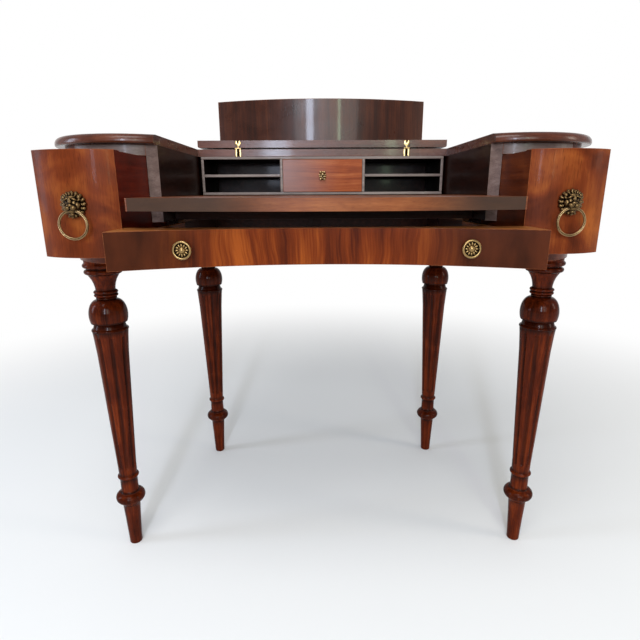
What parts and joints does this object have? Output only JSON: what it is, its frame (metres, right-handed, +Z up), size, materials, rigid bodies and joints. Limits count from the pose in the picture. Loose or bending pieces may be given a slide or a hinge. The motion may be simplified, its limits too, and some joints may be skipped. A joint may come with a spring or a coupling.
{
  "type": "kidney-shaped desk",
  "caption": "Kidney-shaped writing desk with fold-back leaf, pull-out writing slide, pigeonholes, curved drawers, lion ring pulls and turned fluted legs.",
  "frame": {"origin": "on the floor, under the middle of the desk's outline as it stands with its drawers, slide and leaf out as in the picture", "axes": "+X to the user's right when seated, +Y from the user to the straight back, +Z up"},
  "size_m": [0.988, 0.8168, 0.983],
  "materials": {
    "mahogany_top": "polished red-brown mahogany",
    "mahogany_case": "polished red-brown mahogany",
    "mahogany_front": "polished figured mahogany",
    "mahogany_leg": "high gloss dark red mahogany",
    "drawer_side": "red stained wood, satin",
    "secondary_wood": "plain wood, satin",
    "gallery_wood": "polished dark wood",
    "slide_wood": "polished mahogany",
    "old_brass": "aged brass",
    "bright_brass": "polished brass"
  },
  "bodies": {
    "case": {"case_top": "mahogany_top", "left_inner_wall": "mahogany_case", "right_inner_wall": "mahogany_case", "left_side_shell": "mahogany_case", "right_side_shell": "mahogany_case", "back_panel": "mahogany_case", "left_top_rail": "mahogany_case", "right_top_rail": "mahogany_case", "left_low_rail": "mahogany_case", "right_low_rail": "mahogany_case", "left_floor": "secondary_wood", "right_floor": "secondary_wood", "drawer_rail": "mahogany_case", "bed_board": "secondary_wood", "wide_runners": "secondary_wood", "wide_kickers": "secondary_wood", "cross_rail": "secondary_wood", "leg_blocks": "secondary_wood", "left_front_leg": "mahogany_leg", "right_front_leg": "mahogany_leg", "left_rear_leg": "mahogany_leg", "right_rear_leg": "mahogany_leg", "gallery_top": "gallery_wood", "gallery_floor": "gallery_wood", "gallery_left_side": "gallery_wood", "gallery_right_side": "gallery_wood", "gallery_dividers": "gallery_wood", "gallery_shelves": "gallery_wood", "hinge_base_plates": "bright_brass", "hinge_pins": "bright_brass"},
    "leaf": {"leaf": "mahogany_top", "fascia": "mahogany_case", "hinge_leaf_plates": "bright_brass"},
    "slide": {"writing_slide": "slide_wood"},
    "wide_drawer": {"wide_front": "mahogany_front", "wide_left_side": "drawer_side", "wide_right_side": "drawer_side", "wide_back": "drawer_side", "wide_bottom": "secondary_wood", "wide_knobs": "old_brass"},
    "left_drawer": {"left_drawer_front": "mahogany_front", "left_drawer_sides": "drawer_side", "left_drawer_back": "drawer_side", "left_drawer_bottom": "secondary_wood", "left_lion_mask": "old_brass"},
    "left_ring": {"left_ring": "old_brass"},
    "right_drawer": {"right_drawer_front": "mahogany_front", "right_drawer_sides": "drawer_side", "right_drawer_back": "drawer_side", "right_drawer_bottom": "secondary_wood", "right_lion_mask": "old_brass"},
    "right_ring": {"right_ring": "old_brass"},
    "small_drawer": {"small_front": "mahogany_front", "small_sides": "secondary_wood", "small_back": "secondary_wood", "small_bottom": "secondary_wood", "small_pull": "old_brass"}
  },
  "joints": [
    {"name": "leaf_fold", "type": "hinge", "parent": "case", "child": "leaf", "pos_m": [0, 0.09788, 0.8395], "axis": [1, 0, 0], "range_deg": [0, 180]},
    {"name": "slide_run", "type": "slide", "parent": "case", "child": "slide", "axis": [0, 1, 0], "range_m": [0, 0.28]},
    {"name": "wide_drawer_run", "type": "slide", "parent": "case", "child": "wide_drawer", "axis": [0, -1, 0], "range_m": [-0.206, 0.01]},
    {"name": "left_drawer_run", "type": "slide", "parent": "case", "child": "left_drawer", "axis": [0, -1, 0], "range_m": [-0.134, 0.081]},
    {"name": "left_ring_swing", "type": "hinge", "parent": "left_drawer", "child": "left_ring", "pos_m": [-0.362, -0.36088, 0.7197], "axis": [-1, 0, 0], "range_deg": [0, 95]},
    {"name": "right_drawer_run", "type": "slide", "parent": "case", "child": "right_drawer", "axis": [0, -1, 0], "range_m": [-0.114, 0.101]},
    {"name": "right_ring_swing", "type": "hinge", "parent": "right_drawer", "child": "right_ring", "pos_m": [0.362, -0.34088, 0.7197], "axis": [-1, 0, 0], "range_deg": [0, 95]},
    {"name": "small_drawer_run", "type": "slide", "parent": "case", "child": "small_drawer", "axis": [0, -1, 0], "range_m": [0, 0.12]}
  ],
  "couplings": [
    {"joint": "slide_run", "follows": "leaf_fold", "m_per_rad": 0.089126}
  ]
}
